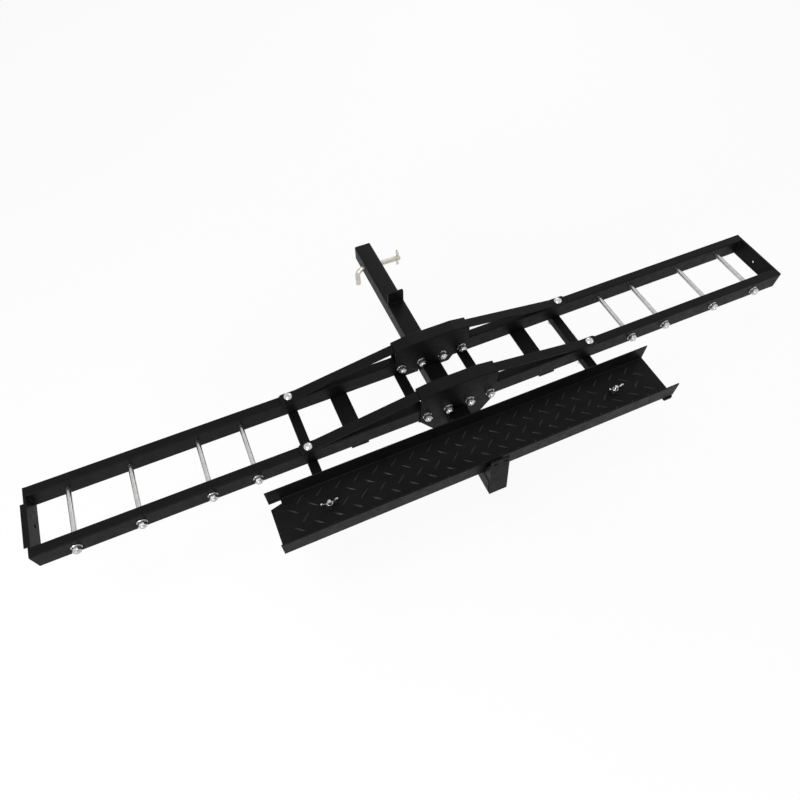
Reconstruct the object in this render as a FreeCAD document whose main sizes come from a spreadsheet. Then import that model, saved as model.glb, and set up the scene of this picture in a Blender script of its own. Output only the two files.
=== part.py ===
import FreeCAD, Part
import math
import os

import Sketcher

# Motorcycle carrier for a 50.8 mm square hitch receiver, in millimetres, +Z up.
# The origin is the middle of the main tube's receiver end. The tube runs along -Y, the wheel
# trough lies along X, and the loading ramp is stowed beyond the trough, at the lowest Y.

SIZES = {
    "plate": 5.0,
    "coat_gap": 0.3,
    "tube_side": 50.8,
    "tube_wall": 5.0,
    "tube_round": 5.0,
    "pin_from_end": 73.0,
    "pin_dia": 16.0,
    "pin_past_tube": 69.6,
    "grip_beside_tube": 22.0,
    "grip_bend": 20.0,
    "grip_drop": 55.0,
    "clip_from_tip": 11.0,
    "clip_wire": 3.6,
    "clip_play": 1.0,
    "clip_beside_pin": 0.4,
    "clip_below": 26.0,
    "clip_neck": 30.0,
    "clip_head": 7.0,
    "clip_side_end": 8.0,
    "clip_flare": 10.0,
    "clip_tip": 15.0,
    "stop_from_end": 261.0,
    "stop_rise": 42.0,
    "trough_from_end": 568.0,
    "trough_inside": 130.0,
    "rail_width": 25.4,
    "rail_height": 50.8,
    "rail_wall": 2.5,
    "rail_round": 3.0,
    "rail_length": 1016.0,
    "end_plate": 6.0,
    "end_hole": 9.0,
    "end_hole_drop": 31.0,
    "ledge_length": 110.0,
    "ledge_out": 14.0,
    "ledge_drop": 12.0,
    "ledge_leg": 12.0,
    "ledge_thick": 4.0,
    "rung_dia": 12.0,
    "rung_first": 934.0,
    "rung_second": 791.0,
    "rung_third": 629.0,
    "rung_fourth": 521.0,
    "nut_flats": 19.0,
    "nut_thick": 10.0,
    "head_thick": 8.0,
    "washer_dia": 24.0,
    "washer_thick": 2.5,
    "thread_past": 4.0,
    "arm_side": 25.4,
    "arm_wall": 2.5,
    "arm_at": 389.0,
    "arm_reach": 360.0,
    "wide_bar_at": 265.0,
    "wide_bar_width": 45.0,
    "narrow_bar_at": 93.0,
    "narrow_bar_width": 28.5,
    "bar_thick": 6.0,
    "brace_slope": 0.167,
    "brace_slant": 1.014,
    "brace_pad": 44.0,
    "saddle_flat": 62.0,
    "saddle_half": 104.0,
    "saddle_foot_half": 67.0,
    "saddle_below": 29.0,
    "post_half": 26.0,
    "post_foot_half": 17.0,
    "gusset_bolt_near": 30.0,
    "gusset_bolt_far": 88.0,
    "ramp_length": 1039.0,
    "ramp_width": 134.4,
    "ramp_wall": 52.0,
    "ramp_sheet": 3.0,
    "ramp_bend": 5.0,
    "ramp_gap": 58.8,
    "lip_length": 29.0,
    "lip_drop": 14.0,
    "lip_gap": 9.0,
    "hook_leg": 8.0,
    "foot_width": 24.0,
    "foot_thick": 8.0,
    "foot_inset": 0.5,
    "stud_dia": 10.0,
    "stud_out": 124.6,
    "stud_length": 52.0,
    "wing_span": 44.0,
    "bracket_width": 48.0,
    "bracket_lean": 0.133,
    "bracket_rise": 127.6,
    "bracket_from_trough": 319.0,
    "slot_length": 12.0,
    "slot_width": 6.0,
    "slot_at": 13.0,
    "slot_below_top": 10.0,
    "flange_below_slot": 4.0,
}

doc = FreeCAD.newDocument("motorcycle_carrier")
sheet = doc.addObject("Spreadsheet::Sheet", "Sizes")
for row, (alias, number) in enumerate(SIZES.items(), start=1):
    sheet.set("A%d" % row, alias)
    sheet.set("B%d" % row, str(number))
    sheet.setAlias("B%d" % row, alias)
doc.recompute()


class Dim:
    """A length with the spreadsheet expression that drives it."""

    def __init__(self, value, text):
        self.value = float(value)
        self.text = text

    def __add__(self, other):
        other = dim(other)
        return Dim(self.value + other.value, "(%s + %s)" % (self.text, other.text))

    def __sub__(self, other):
        other = dim(other)
        return Dim(self.value - other.value, "(%s - %s)" % (self.text, other.text))

    def __mul__(self, other):
        other = dim(other)
        return Dim(self.value * other.value, "(%s * %s)" % (self.text, other.text))

    def __truediv__(self, other):
        other = dim(other)
        return Dim(self.value / other.value, "(%s / %s)" % (self.text, other.text))

    def __neg__(self):
        return Dim(-self.value, "(0 - %s)" % self.text)

    __radd__ = __add__
    __rmul__ = __mul__

    def __rsub__(self, other):
        return dim(other) - self


def dim(number):
    """A Dim from a Dim or a plain number."""
    if isinstance(number, Dim):
        return number
    return Dim(number, "(%s)" % repr(float(number)))


def size(alias):
    """A Dim for one cell of the sheet."""
    return Dim(SIZES[alias], "Sizes." + alias)


def bind(thing, path, length):
    """Tie a property to the sheet."""
    thing.setExpression(path, dim(length).text)


def new_body(name):
    """A body whose label names the sub-part."""
    body = doc.addObject("PartDesign::Body", name)
    body.Label = name
    return body


def new_sketch(body, plane_role, offset=None):
    """A sketch on one of the body's own origin planes, moved along the plane's normal by offset."""
    sketch = body.newObject("Sketcher::SketchObject", body.Name + "_sketch")
    for feature in body.Origin.OriginFeatures:
        if feature.Role == plane_role:
            sketch.AttachmentSupport = [(feature, "")]
    sketch.MapMode = "FlatFace"
    if offset is not None:
        bind(sketch, "AttachmentOffset.Base.z", offset)
    return sketch


def drive(sketch, kind, *where_and_length):
    """Add a dimension to a sketch and tie it to the sheet."""
    where = where_and_length[:-1]
    length = dim(where_and_length[-1])
    index = sketch.addConstraint(Sketcher.Constraint(kind, *where, length.value))
    bind(sketch, "Constraints[%d]" % index, length)


def polygon(sketch, corners):
    """A closed outline of straight edges with every corner tied to the sheet."""
    corners = [(dim(x), dim(y)) for x, y in corners]
    first = sketch.GeometryCount
    count = len(corners)
    for i in range(count):
        start = corners[i]
        end = corners[(i + 1) % count]
        line = Part.LineSegment(
            FreeCAD.Vector(start[0].value, start[1].value, 0),
            FreeCAD.Vector(end[0].value, end[1].value, 0),
        )
        sketch.addGeometry(line, False)
    for i in range(count):
        following = first + (i + 1) % count
        sketch.addConstraint(Sketcher.Constraint("Coincident", first + i, 2, following, 1))
    for i, (x, y) in enumerate(corners):
        drive(sketch, "DistanceX", -1, 1, first + i, 1, x)
        drive(sketch, "DistanceY", -1, 1, first + i, 1, y)


def circle(sketch, x, y, diameter):
    """A full circle with its centre and diameter tied to the sheet."""
    x = dim(x)
    y = dim(y)
    diameter = dim(diameter)
    centre = FreeCAD.Vector(x.value, y.value, 0)
    normal = FreeCAD.Vector(0, 0, 1)
    index = sketch.addGeometry(Part.Circle(centre, normal, diameter.value / 2), False)
    drive(sketch, "Diameter", index, diameter)
    drive(sketch, "DistanceX", -1, 1, index, 3, x)
    drive(sketch, "DistanceY", -1, 1, index, 3, y)


def long_hole(sketch, x, y, length, width):
    """A slot along the sketch's X with round ends."""
    x = dim(x)
    y = dim(y)
    radius = dim(width) / 2
    reach = dim(length) / 2 - radius
    r = radius.value
    first = sketch.GeometryCount
    for sign, start in ((1, -math.pi / 2), (-1, math.pi / 2)):
        centre = FreeCAD.Vector(x.value + sign * reach.value, y.value, 0)
        end_circle = Part.Circle(centre, FreeCAD.Vector(0, 0, 1), r)
        sketch.addGeometry(Part.ArcOfCircle(end_circle, start, start + math.pi), False)
    for sign in (1, -1):
        near = FreeCAD.Vector(x.value + sign * reach.value, y.value + sign * r, 0)
        far = FreeCAD.Vector(x.value - sign * reach.value, y.value + sign * r, 0)
        sketch.addGeometry(Part.LineSegment(near, far), False)
    order = (first, first + 2, first + 1, first + 3)
    for i in range(4):
        following = order[(i + 1) % 4]
        sketch.addConstraint(Sketcher.Constraint("Tangent", order[i], 2, following, 1))
    drive(sketch, "Radius", first, radius)
    drive(sketch, "DistanceX", -1, 1, first, 3, x + reach)
    drive(sketch, "DistanceY", -1, 1, first, 3, y)
    drive(sketch, "DistanceX", -1, 1, first + 1, 3, x - reach)
    drive(sketch, "DistanceY", -1, 1, first + 1, 3, y)


def rounded_box(sketch, width, height, radius):
    """A rectangle about the sketch's origin with four equal round corners."""
    half_w = dim(width).value / 2
    half_h = dim(height).value / 2
    r = dim(radius).value
    first = sketch.GeometryCount
    turns = ((1, 1, 0), (-1, 1, 1), (-1, -1, 2), (1, -1, 3))
    ends = (
        ((half_w, -half_h + r), (half_w, half_h - r)),
        ((half_w - r, half_h), (-half_w + r, half_h)),
        ((-half_w, half_h - r), (-half_w, -half_h + r)),
        ((-half_w + r, -half_h), (half_w - r, -half_h)),
    )
    for (ax, ay), (bx, by) in ends:
        line = Part.LineSegment(FreeCAD.Vector(ax, ay, 0), FreeCAD.Vector(bx, by, 0))
        sketch.addGeometry(line, False)
    for sx, sy, quarter in turns:
        centre = FreeCAD.Vector(sx * (half_w - r), sy * (half_h - r), 0)
        round_corner = Part.Circle(centre, FreeCAD.Vector(0, 0, 1), r)
        start = quarter * math.pi / 2
        sketch.addGeometry(Part.ArcOfCircle(round_corner, start, start + math.pi / 2), False)
    for i in range(4):
        arc = first + 4 + i
        following = first + (i + 1) % 4
        sketch.addConstraint(Sketcher.Constraint("Tangent", first + i, 2, arc, 1))
        sketch.addConstraint(Sketcher.Constraint("Tangent", arc, 2, following, 1))
    for i in (0, 2):
        sketch.addConstraint(Sketcher.Constraint("Vertical", first + i))
    for i in (1, 3):
        sketch.addConstraint(Sketcher.Constraint("Horizontal", first + i))
    for i in (5, 6, 7):
        sketch.addConstraint(Sketcher.Constraint("Equal", first + 4, first + i))
    drive(sketch, "Radius", first + 4, radius)
    drive(sketch, "DistanceX", -1, 1, first, 1, dim(width) / 2)
    drive(sketch, "DistanceX", -1, 1, first + 2, 1, -(dim(width) / 2))
    drive(sketch, "DistanceY", -1, 1, first + 1, 1, dim(height) / 2)
    drive(sketch, "DistanceY", -1, 1, first + 3, 1, -(dim(height) / 2))


def pad(body, sketch, length, both_ways=False, backwards=False):
    """Extrude a sketch into the body."""
    feature = body.newObject("PartDesign::Pad", body.Name + "_pad")
    feature.Profile = sketch
    feature.SideType = "Symmetric" if both_ways else "One side"
    feature.Reversed = backwards
    bind(feature, "Length", length)
    doc.recompute()
    return feature


def cut(body, sketch, length, both_ways=True, backwards=False):
    """Cut a sketch's outline out of the body, and make sure that material went."""
    before = body.Shape.Volume
    feature = body.newObject("PartDesign::Pocket", body.Name + "_cut")
    feature.Profile = sketch
    feature.SideType = "Symmetric" if both_ways else "One side"
    feature.Reversed = backwards
    bind(feature, "Length", length)
    doc.recompute()
    if body.Shape.Volume > before - 0.5:
        raise RuntimeError("%s cuts nothing" % feature.Name)
    return feature


def round_edges(body, radius, wanted, kind="PartDesign::Fillet"):
    """Fillet or chamfer the edges whose two ends and middle satisfy wanted(edge)."""
    base = body.Tip
    names = []
    for i, edge in enumerate(base.Shape.Edges, start=1):
        if wanted(edge):
            names.append("Edge%d" % i)
    if not names:
        raise RuntimeError("%s has no such edge" % body.Label)
    feature = body.newObject(kind, body.Name + "_edge")
    feature.Base = (base, names)
    bind(feature, "Radius" if kind.endswith("Fillet") else "Size", radius)
    doc.recompute()
    return feature


def along(edge, axis):
    """True when a straight edge is parallel to the axis 0, 1 or 2."""
    if edge.Curve.TypeId != "Part::GeomLine":
        return False
    direction = edge.Vertexes[0].Point - edge.Vertexes[-1].Point
    return abs(direction[axis]) > direction.Length - 1e-6


def place(thing, x=0, y=0, z=0, turn=None):
    """Put a sub-part at a position tied to the sheet, turned about an axis by degrees if asked."""
    if turn is not None:
        axis, degrees = turn
        thing.Placement = FreeCAD.Placement(FreeCAD.Vector(), FreeCAD.Rotation(axis, degrees))
    bind(thing, "Placement.Base.x", x)
    bind(thing, "Placement.Base.y", y)
    bind(thing, "Placement.Base.z", z)


def group(name, body, spots):
    """One node of equal fasteners: a compound of separate placed copies of one body."""
    copies = []
    for i, (x, y, z, turn) in enumerate(spots):
        copy = doc.addObject("App::Link", "%s_%d" % (name, i + 1))
        copy.LinkedObject = body
        place(copy, x, y, z, turn)
        copies.append(copy)
    compound = doc.addObject("Part::Compound", name)
    compound.Label = name
    compound.Links = copies
    return compound


X_AXIS = FreeCAD.Vector(1, 0, 0)
Z_AXIS = FreeCAD.Vector(0, 0, 1)
HALF_TURN = (Z_AXIS, 180)

PLATE = size("plate")
GAP = size("coat_gap")
TUBE_TOP = size("tube_side") / 2
RAIL_TOP = TUBE_TOP + size("rail_height")
RAIL_MIDDLE = TUBE_TOP + size("rail_height") / 2
TROUGH = -size("trough_from_end")
RAIL_INNER = size("trough_inside") / 2
RAIL_OUTER = RAIL_INNER + size("rail_width")
RAIL_LINE = RAIL_INNER + size("rail_width") / 2
BEND_AT = size("arm_at") - size("brace_pad") / 2
SADDLE_TOP = RAIL_TOP + PLATE + size("brace_slope") * (BEND_AT - size("saddle_flat")) + (
    PLATE * size("brace_slant")
)
ARM_FLOOR = TUBE_TOP
ARM_MIDDLE = TUBE_TOP - size("arm_side") / 2
RUNGS = [size("rung_first"), size("rung_second"), size("rung_third"), size("rung_fourth")]
GUSSET_BOLTS = [size("gusset_bolt_near"), size("gusset_bolt_far")]
RAMP_REAR = TROUGH - RAIL_OUTER - size("ramp_gap")
RAMP_FRONT = RAMP_REAR - size("ramp_width")
STUD_Y = TROUGH - RAIL_OUTER - size("stud_out")
BRACKET_FOOT = TROUGH - size("bracket_from_trough")

PARTS = []


def keep(thing):
    """Note a finished sub-part for export."""
    PARTS.append(thing)
    return thing


# Main tube: square hollow section along Y, receiver end at the origin, near end cut to the
# slant of the front bracket that closes it.
tube = new_body("hitch_tube")
profile = new_sketch(tube, "XZ_Plane")
rounded_box(profile, size("tube_side"), size("tube_side"), size("tube_round"))
rounded_box(
    profile,
    size("tube_side") - size("tube_wall") * 2,
    size("tube_side") - size("tube_wall") * 2,
    size("tube_round") / 2,
)
pad(tube, profile, -BRACKET_FOOT)
slant = new_sketch(tube, "YZ_Plane")
LEAN = size("bracket_lean")
CAP = PLATE
polygon(slant, [
    (BRACKET_FOOT + CAP, -TUBE_TOP),
    (BRACKET_FOOT + CAP + LEAN * TUBE_TOP * 2, TUBE_TOP),
    (BRACKET_FOOT + CAP + LEAN * (TUBE_TOP * 2 + 5), TUBE_TOP + 5),
    (BRACKET_FOOT - 10, TUBE_TOP + 5),
    (BRACKET_FOOT - 10, -TUBE_TOP - 5),
    (BRACKET_FOOT + CAP - LEAN * 5, -TUBE_TOP - 5),
])
cut(tube, slant, size("tube_side") * 2)
pin_hole = new_sketch(tube, "YZ_Plane")
circle(pin_hole, -size("pin_from_end"), 0, size("pin_dia") + GAP * 2)
cut(tube, pin_hole, size("tube_side") * 2)
keep(tube)

# Stop plate: stands across the tube's top and meets the receiver's rim.
stop = new_body("stop_plate")
profile = new_sketch(stop, "XZ_Plane")
stop_half = TUBE_TOP - 1.4
polygon(profile, [
    (-stop_half, 0),
    (stop_half, 0),
    (stop_half, size("stop_rise")),
    (-stop_half, size("stop_rise")),
])
pad(stop, profile, PLATE, both_ways=True)
round_edges(stop, dim(4), lambda e: along(e, 1) and e.Vertexes[0].Z > 20)
place(stop, 0, -size("stop_from_end"), TUBE_TOP)
keep(stop)


# Rails: rectangular tubes in two halves per side that meet at the carrier's centre. Local +X
# points outwards from the centre, so the left halves are turned half way round.
def rail(name, y, left):
    body = new_body(name)
    section = new_sketch(body, "YZ_Plane")
    rounded_box(section, size("rail_width"), size("rail_height"), size("rail_round"))
    rounded_box(
        section,
        size("rail_width") - size("rail_wall") * 2,
        size("rail_height") - size("rail_wall") * 2,
        size("rail_round") / 3,
    )
    pad(body, section, size("rail_length"))
    cross_holes = new_sketch(body, "XZ_Plane")
    for x in RUNGS + GUSSET_BOLTS:
        circle(cross_holes, x, 0, size("rung_dia") + GAP * 2)
    cut(body, cross_holes, size("rail_width") * 2)
    bolt_hole = new_sketch(body, "XY_Plane")
    circle(bolt_hole, size("arm_at"), 0, size("rung_dia") + GAP * 2)
    cut(body, bolt_hole, size("rail_height") * 2)
    place(body, 0, y, RAIL_MIDDLE, HALF_TURN if left else None)
    keep(body)


REAR_LINE = TROUGH + RAIL_LINE
FRONT_LINE = TROUGH - RAIL_LINE
rail("rail_rear_left", REAR_LINE, True)
rail("rail_rear_right", REAR_LINE, False)
rail("rail_front_left", FRONT_LINE, True)
rail("rail_front_right", FRONT_LINE, False)


# End plates with their tie-down hole, and the ledges outside them for the ramp's hooked end.
def end_plate(name, x, turn):
    body = new_body(name)
    outline = new_sketch(body, "YZ_Plane")
    polygon(outline, [
        (-RAIL_OUTER, TUBE_TOP),
        (RAIL_OUTER, TUBE_TOP),
        (RAIL_OUTER, RAIL_TOP),
        (-RAIL_OUTER, RAIL_TOP),
    ])
    pad(body, outline, size("end_plate"))
    hole = new_sketch(body, "YZ_Plane")
    circle(hole, 0, RAIL_TOP - size("end_hole_drop"), size("end_hole"))
    cut(body, hole, size("end_plate") * 4)
    round_edges(body, dim(2.5), lambda e: along(e, 0))
    place(body, x, TROUGH, 0, turn)
    keep(body)


end_plate("end_plate_right", size("rail_length"), None)
end_plate("end_plate_left", -size("rail_length"), HALF_TURN)


def ledge(name, x, turn):
    body = new_body(name)
    section = new_sketch(body, "XZ_Plane", -(size("ledge_length") / 2))
    thick = size("ledge_thick")
    leg = size("ledge_leg")
    polygon(section, [
        (0, 0),
        (size("ledge_out"), 0),
        (size("ledge_out"), -thick),
        (thick, -thick),
        (thick, -leg),
        (0, -leg),
    ])
    pad(body, section, size("ledge_length"))
    round_edges(body, dim(1.5), lambda e: along(e, 1) and e.Vertexes[0].X > 4.5)
    place(body, x, TROUGH, RAIL_TOP - size("ledge_drop"), turn)
    keep(body)


LADDER_END = size("rail_length") + size("end_plate")
ledge("ramp_ledge_right", LADDER_END, None)
ledge("ramp_ledge_left", -LADDER_END, HALF_TURN)


# Fasteners. Bolts and nuts stand on local z = 0 with the shank or bore along +Z.
def hexagon(sketch, flats):
    """Six corners about the origin, two flats parallel to X."""
    half = dim(flats) / 2
    corner = half * 1.1547
    polygon(sketch, [
        (corner, 0),
        (corner / 2, half),
        (-corner / 2, half),
        (-corner, 0),
        (-corner / 2, -half),
        (corner / 2, -half),
    ])


def nut(name, flats, thick, bore):
    body = new_body(name)
    outline = new_sketch(body, "XY_Plane")
    hexagon(outline, flats)
    pad(body, outline, thick)
    corner_cut = new_sketch(body, "XZ_Plane")
    reach = dim(flats) / 2
    polygon(corner_cut, [
        (reach * 0.95, thick),
        (reach * 1.3, thick),
        (reach * 1.3, thick - reach * 0.2),
    ])
    groove = body.newObject("PartDesign::Groove", name + "_groove")
    groove.Profile = corner_cut
    groove.ReferenceAxis = (corner_cut, ["V_Axis"])
    groove.Angle = 360
    doc.recompute()
    hole = new_sketch(body, "XY_Plane")
    circle(hole, 0, 0, bore)
    cut(body, hole, thick * 4)
    return body


def bolt(name, flats, head, diameter, length):
    """Hex bolt: the head below z = 0, the shank up to z = length."""
    body = new_body(name)
    shank = new_sketch(body, "XY_Plane")
    circle(shank, 0, 0, diameter)
    pad(body, shank, length)
    round_edges(body, dim(1), lambda e: e.BoundBox.ZMin > length.value - 0.1, "PartDesign::Chamfer")
    outline = new_sketch(body, "XY_Plane")
    hexagon(outline, flats)
    pad(body, outline, head, backwards=True)
    return body


def washer(name, outer, bore, thick):
    body = new_body(name)
    ring = new_sketch(body, "XY_Plane")
    circle(ring, 0, 0, outer)
    circle(ring, 0, 0, bore)
    pad(body, ring, thick)
    return body


SHANK = size("rung_dia")
BORE = SHANK + GAP * 2
FORWARD = (X_AXIS, 90)
WASHER = size("washer_thick")
NUT = size("nut_thick")
TAIL = WASHER + NUT + size("thread_past")
SPOTS_X = [-x for x in RUNGS] + [x for x in reversed(RUNGS)]
REAR_FACE = TROUGH + RAIL_OUTER
FRONT_FACE = TROUGH - RAIL_OUTER

rung = bolt("rung_bolt", size("nut_flats"), size("head_thick"), SHANK, RAIL_OUTER * 2 + TAIL)
small_nut = nut("plain_nut", size("nut_flats"), NUT, BORE)
flat_washer = washer("plain_washer", size("washer_dia"), BORE, WASHER)
keep(group("rung_bolts", rung, [(x, REAR_FACE, RAIL_MIDDLE, FORWARD) for x in SPOTS_X]))
keep(group("rung_washers", flat_washer, [(x, FRONT_FACE, RAIL_MIDDLE, FORWARD) for x in SPOTS_X]))
keep(group("rung_nuts", small_nut, [
    (x, FRONT_FACE - WASHER, RAIL_MIDDLE, FORWARD) for x in SPOTS_X
]))


# Arms: square tubes under both rails, on past them to carry the ramp.
def arm(name, x):
    body = new_body(name)
    section = new_sketch(body, "XZ_Plane")
    rounded_box(section, size("arm_side"), size("arm_side"), size("rail_round"))
    inside = size("arm_side") - size("arm_wall") * 2
    rounded_box(section, inside, inside, size("rail_round") / 3)
    pad(body, section, size("arm_reach"))
    holes = new_sketch(body, "XY_Plane")
    circle(holes, 0, RAIL_LINE - RAIL_OUTER, BORE)
    circle(holes, 0, -(RAIL_LINE + RAIL_OUTER), BORE)
    circle(holes, 0, -(RAIL_OUTER * 2 + size("stud_out")), size("stud_dia") + GAP * 2)
    cut(body, holes, size("arm_side") * 2)
    place(body, x, REAR_FACE, ARM_MIDDLE)
    keep(body)


arm("arm_left", -size("arm_at"))
arm("arm_right", size("arm_at"))


# Flat cross bars under the rails.
def cross_bar(name, x, width):
    body = new_body(name)
    outline = new_sketch(body, "XY_Plane")
    polygon(outline, [
        (-(width / 2), -RAIL_OUTER),
        (width / 2, -RAIL_OUTER),
        (width / 2, RAIL_OUTER),
        (-(width / 2), RAIL_OUTER),
    ])
    pad(body, outline, size("bar_thick"), backwards=True)
    round_edges(body, dim(1), lambda e: along(e, 1))
    place(body, x, TROUGH, TUBE_TOP)
    keep(body)


cross_bar("wide_bar_left", -size("wide_bar_at"), size("wide_bar_width"))
cross_bar("wide_bar_right", size("wide_bar_at"), size("wide_bar_width"))
cross_bar("narrow_bar_left", -size("narrow_bar_at"), size("narrow_bar_width"))
cross_bar("narrow_bar_right", size("narrow_bar_at"), size("narrow_bar_width"))


# Saddles: one folded plate over each rail. The outer leg hangs down past the tube on both
# sides of it, the top follows the braces' rise, and the inner leg narrows to a post that
# stands on the tube. Local y = 0 is the rail's outer face, and local -Y points outwards.
def saddle(name, y, turn):
    body = new_body(name)
    flat = size("saddle_flat")
    half = size("saddle_half")
    wing_drop = size("brace_slope") * (half - flat)
    wing_z = SADDLE_TOP - wing_drop
    skin = PLATE * size("brace_slant")
    foot = size("saddle_foot_half")
    low = -size("saddle_below")
    notch = TUBE_TOP + GAP
    outer_leg = new_sketch(body, "XZ_Plane")
    polygon(outer_leg, [
        (-half, wing_z),
        (-half, TUBE_TOP),
        (-foot, low),
        (-notch, low),
        (-notch, notch),
        (notch, notch),
        (notch, low),
        (foot, low),
        (half, TUBE_TOP),
        (half, wing_z),
        (flat, SADDLE_TOP),
        (-flat, SADDLE_TOP),
    ])
    pad(body, outer_leg, PLATE)
    depth = size("rail_width") + GAP * 2 + PLATE
    roof = new_sketch(body, "XZ_Plane")
    polygon(roof, [
        (-half, wing_z),
        (-half, wing_z - skin),
        (-flat, SADDLE_TOP - skin),
        (flat, SADDLE_TOP - skin),
        (half, wing_z - skin),
        (half, wing_z),
        (flat, SADDLE_TOP),
        (-flat, SADDLE_TOP),
    ])
    pad(body, roof, depth, backwards=True)
    inner_leg = new_sketch(body, "XZ_Plane", -depth)
    post = size("post_half")
    stem = size("post_foot_half")
    polygon(inner_leg, [
        (-half, wing_z),
        (-half, RAIL_TOP + 1),
        (-post, RAIL_TOP + 1),
        (-post, RAIL_TOP - 10),
        (-stem, RAIL_TOP - 14),
        (-stem, TUBE_TOP),
        (stem, TUBE_TOP),
        (stem, RAIL_TOP - 14),
        (post, RAIL_TOP - 10),
        (post, RAIL_TOP + 1),
        (half, RAIL_TOP + 1),
        (half, wing_z),
        (flat, SADDLE_TOP),
        (-flat, SADDLE_TOP),
    ])
    pad(body, inner_leg, PLATE)
    bolts = new_sketch(body, "XZ_Plane")
    for x in GUSSET_BOLTS:
        circle(bolts, x, RAIL_MIDDLE, BORE)
        circle(bolts, -x, RAIL_MIDDLE, BORE)
    cut(body, bolts, PLATE * 2 + 1)
    top = SADDLE_TOP.value
    wing = wing_z.value
    far = depth.value
    fold = size("plate").value

    def on_fold(edge):
        if edge.Curve.TypeId != "Part::GeomLine":
            return False
        ends = [v.Point for v in edge.Vertexes]
        length = abs(ends[0].x - ends[1].x)
        high = min(p.z for p in ends) > wing - 0.01 and max(p.z for p in ends) < top + 0.01
        outside = all(abs(p.y + fold) < 0.01 or abs(p.y - far) < 0.01 for p in ends)
        same_side = abs(ends[0].y - ends[1].y) < 0.01
        return length > 1 and high and outside and same_side

    round_edges(body, dim(3), on_fold)
    place(body, 0, y, 0, turn)
    keep(body)


saddle("saddle_front", FRONT_FACE, None)
saddle("saddle_rear", REAR_FACE, HALF_TURN)


# Braces: flat bars bolted to the rails at their outer ends, rising to end under the saddles'
# wings. Local +X points away from the carrier's centre.
def brace(name, y, left):
    body = new_body(name)
    side = new_sketch(body, "XZ_Plane")
    slope = size("brace_slope")
    skin = PLATE * size("brace_slant")
    outer = size("arm_at") + size("brace_pad") / 2
    inner = size("saddle_flat") + 4
    rise = slope * (BEND_AT - inner)
    polygon(side, [
        (outer, RAIL_TOP),
        (outer, RAIL_TOP + PLATE),
        (BEND_AT, RAIL_TOP + PLATE),
        (inner, RAIL_TOP + PLATE + rise),
        (inner, RAIL_TOP + PLATE + rise - skin),
        (BEND_AT + 1, RAIL_TOP),
    ])
    pad(body, side, size("rail_width"), both_ways=True)
    hole = new_sketch(body, "XY_Plane", RAIL_TOP)
    circle(hole, size("arm_at"), 0, BORE)
    cut(body, hole, PLATE * 4)
    far = outer.value
    round_edges(body, dim(8), lambda e: along(e, 2) and e.Vertexes[0].X > far - 0.1)
    place(body, 0, y, 0, HALF_TURN if left else None)
    keep(body)


brace("brace_rear_left", REAR_LINE, True)
brace("brace_rear_right", REAR_LINE, False)
brace("brace_front_left", FRONT_LINE, True)
brace("brace_front_right", FRONT_LINE, False)

# Brace bolts: dome heads on the braces, shank down through rail and arm, nut underneath.
dome = new_body("dome_bolt")
half_outline = new_sketch(dome, "XZ_Plane")
bolt_depth = PLATE + size("rail_height") + size("arm_side") + NUT + size("thread_past")
polygon(half_outline, [
    (0, 6.5),
    (5, 6),
    (8.5, 4.4),
    (10.6, 2.2),
    (11.2, 0),
    (SHANK / 2, 0),
    (SHANK / 2, 1 - bolt_depth),
    (SHANK / 2 - 1, -bolt_depth),
    (0, -bolt_depth),
])
turned = dome.newObject("PartDesign::Revolution", "dome_bolt_turned")
turned.Profile = half_outline
turned.ReferenceAxis = (half_outline, ["V_Axis"])
turned.Angle = 360
doc.recompute()
BRACE_SPOTS = [
    (sign * size("arm_at"), y) for sign in (-1, 1) for y in (REAR_LINE, FRONT_LINE)
]
UPSIDE_DOWN = (X_AXIS, 180)
keep(group("brace_bolts", dome, [(x, y, RAIL_TOP + PLATE, None) for x, y in BRACE_SPOTS]))
keep(group("brace_nuts", small_nut, [
    (x, y, TUBE_TOP - size("arm_side"), UPSIDE_DOWN) for x, y in BRACE_SPOTS
]))

# Gusset bolts: all point towards -Y, so the rear ones end inside the trough and the front
# ones outside it.
GUSSET_X = [-x for x in GUSSET_BOLTS] + list(GUSSET_BOLTS)
clamp = bolt("gusset_bolt", size("nut_flats"), size("head_thick"), SHANK,
             size("rail_width") + PLATE + TAIL)
REAR_INSIDE = TROUGH + RAIL_INNER
FRONT_INSIDE = TROUGH - RAIL_INNER
keep(group("gusset_bolts", clamp, [
    (x, y, RAIL_MIDDLE, FORWARD) for y in (REAR_FACE + PLATE, FRONT_INSIDE) for x in GUSSET_X
]))
keep(group("gusset_washers", flat_washer, [
    (x, y, RAIL_MIDDLE, FORWARD) for y in (REAR_INSIDE, FRONT_FACE - PLATE) for x in GUSSET_X
]))
keep(group("gusset_nuts", small_nut, [
    (x, y - WASHER, RAIL_MIDDLE, FORWARD)
    for y in (REAR_INSIDE, FRONT_FACE - PLATE) for x in GUSSET_X
]))

# Loading ramp, stowed: folded channel along X with its walls up. The floor rests on the arms
# and the tube. The left end of the floor is a separate tongue bent down as a hook.
ramp = new_body("ramp")
SHEET = size("ramp_sheet")
RAMP_HALF_W = size("ramp_width") / 2
channel = new_sketch(ramp, "YZ_Plane", -(size("ramp_length") / 2))
polygon(channel, [
    (-RAMP_HALF_W, 0),
    (RAMP_HALF_W, 0),
    (RAMP_HALF_W, size("ramp_wall")),
    (RAMP_HALF_W - SHEET, size("ramp_wall")),
    (RAMP_HALF_W - SHEET, SHEET),
    (SHEET - RAMP_HALF_W, SHEET),
    (SHEET - RAMP_HALF_W, size("ramp_wall")),
    (-RAMP_HALF_W, size("ramp_wall")),
])
pad(ramp, channel, size("ramp_length"))
half_w = RAMP_HALF_W.value
sheet_now = SHEET.value
round_edges(ramp, size("ramp_bend"), lambda e: along(e, 0) and e.Vertexes[0].Z < 0.01)
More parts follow.
